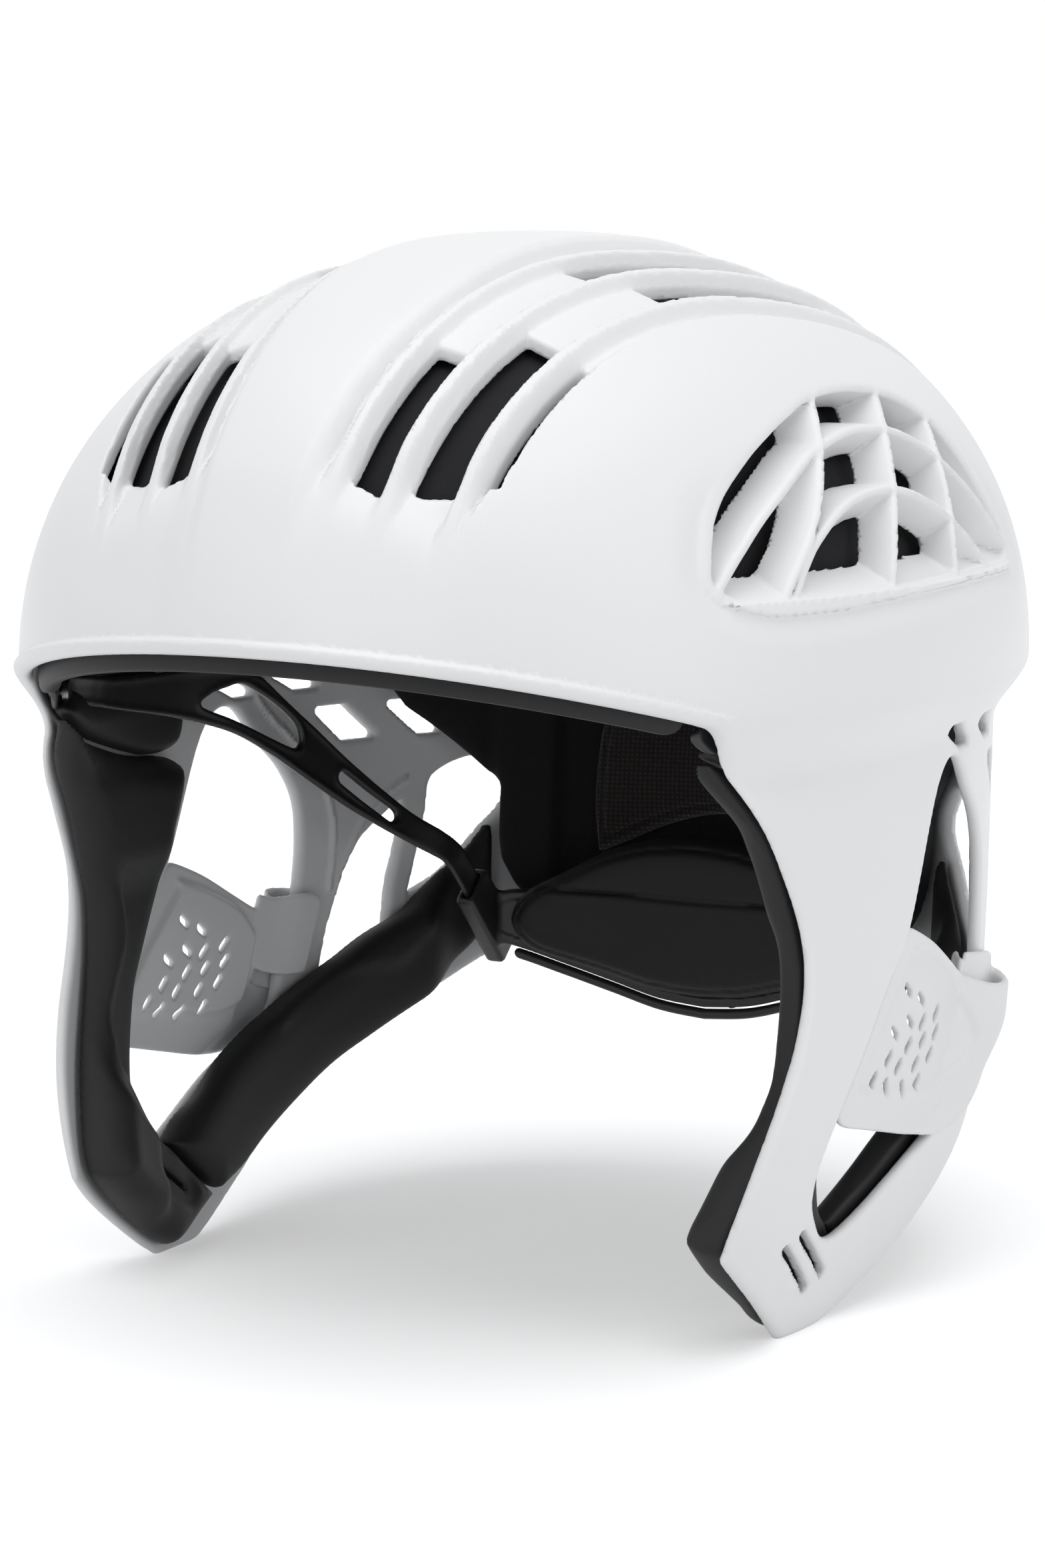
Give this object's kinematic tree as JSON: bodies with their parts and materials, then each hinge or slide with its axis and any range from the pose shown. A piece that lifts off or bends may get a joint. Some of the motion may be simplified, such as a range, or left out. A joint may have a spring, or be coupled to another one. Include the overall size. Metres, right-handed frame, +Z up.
{
  "type": "surf helmet",
  "caption": "Open-faced water-sports helmet: vented moulded shell with jaw arms, perforated ear guards, foam lining and a nape cradle that slides as its dial is turned.",
  "frame": {"origin": "on the ground plane that the jaw tips stand on, under the middle of the whole helmet's box", "axes": "front faces -Y, the wearer's left is +X, +Z is up; the helmet mirrors about the plane X = 0"},
  "size_m": [0.224, 0.2811, 0.2513],
  "materials": {
    "shell_white": "satin moulded",
    "guard_white": "satin moulded",
    "foam_black": "closed-cell foam",
    "pad_black": "smooth foam-backed cloth",
    "comfort_fabric": "ribbed knit",
    "band_black": "moulded strip",
    "nape_black": "soft matte",
    "metal": "plain",
    "dial_black": "knurled"
  },
  "bodies": {
    "shell": {"outer_shell": "shell_white", "ear_guard_left": "guard_white", "ear_guard_right": "guard_white", "crown_liner": "foam_black", "side_liner_left": "foam_black", "side_liner_right": "foam_black", "rear_liner": "foam_black", "brow_pad": "pad_black", "temple_pad_left": "pad_black", "temple_pad_right": "pad_black", "front_jaw_pad_left": "pad_black", "front_jaw_pad_right": "pad_black", "rear_jaw_pad_left": "pad_black", "rear_jaw_pad_right": "pad_black", "rear_comfort_pad": "comfort_fabric", "band_arm_left": "band_black", "band_arm_right": "band_black", "band_rivets": "metal"},
    "cradle": {"nape_cradle": "nape_black", "nape_pad": "pad_black", "nape_piping": "nape_black", "dial_housing": "nape_black"},
    "dial": {"dial_knob": "dial_black", "dial_cap": "dial_black", "dial_spool": "dial_black", "dial_spindle": "metal"}
  },
  "joints": [
    {"name": "cradle_slide", "type": "slide", "parent": "shell", "child": "cradle", "axis": [0, -0.68, 0.7332], "range_m": [0, 0.01]},
    {"name": "dial_turn", "type": "hinge", "parent": "cradle", "child": "dial", "pos_m": [0, 0.0926, 0.062], "axis": [0, 1, 0], "range_deg": [0, 81]}
  ],
  "couplings": [
    {"joint": "cradle_slide", "follows": "dial_turn", "m_per_rad": 0.007}
  ]
}
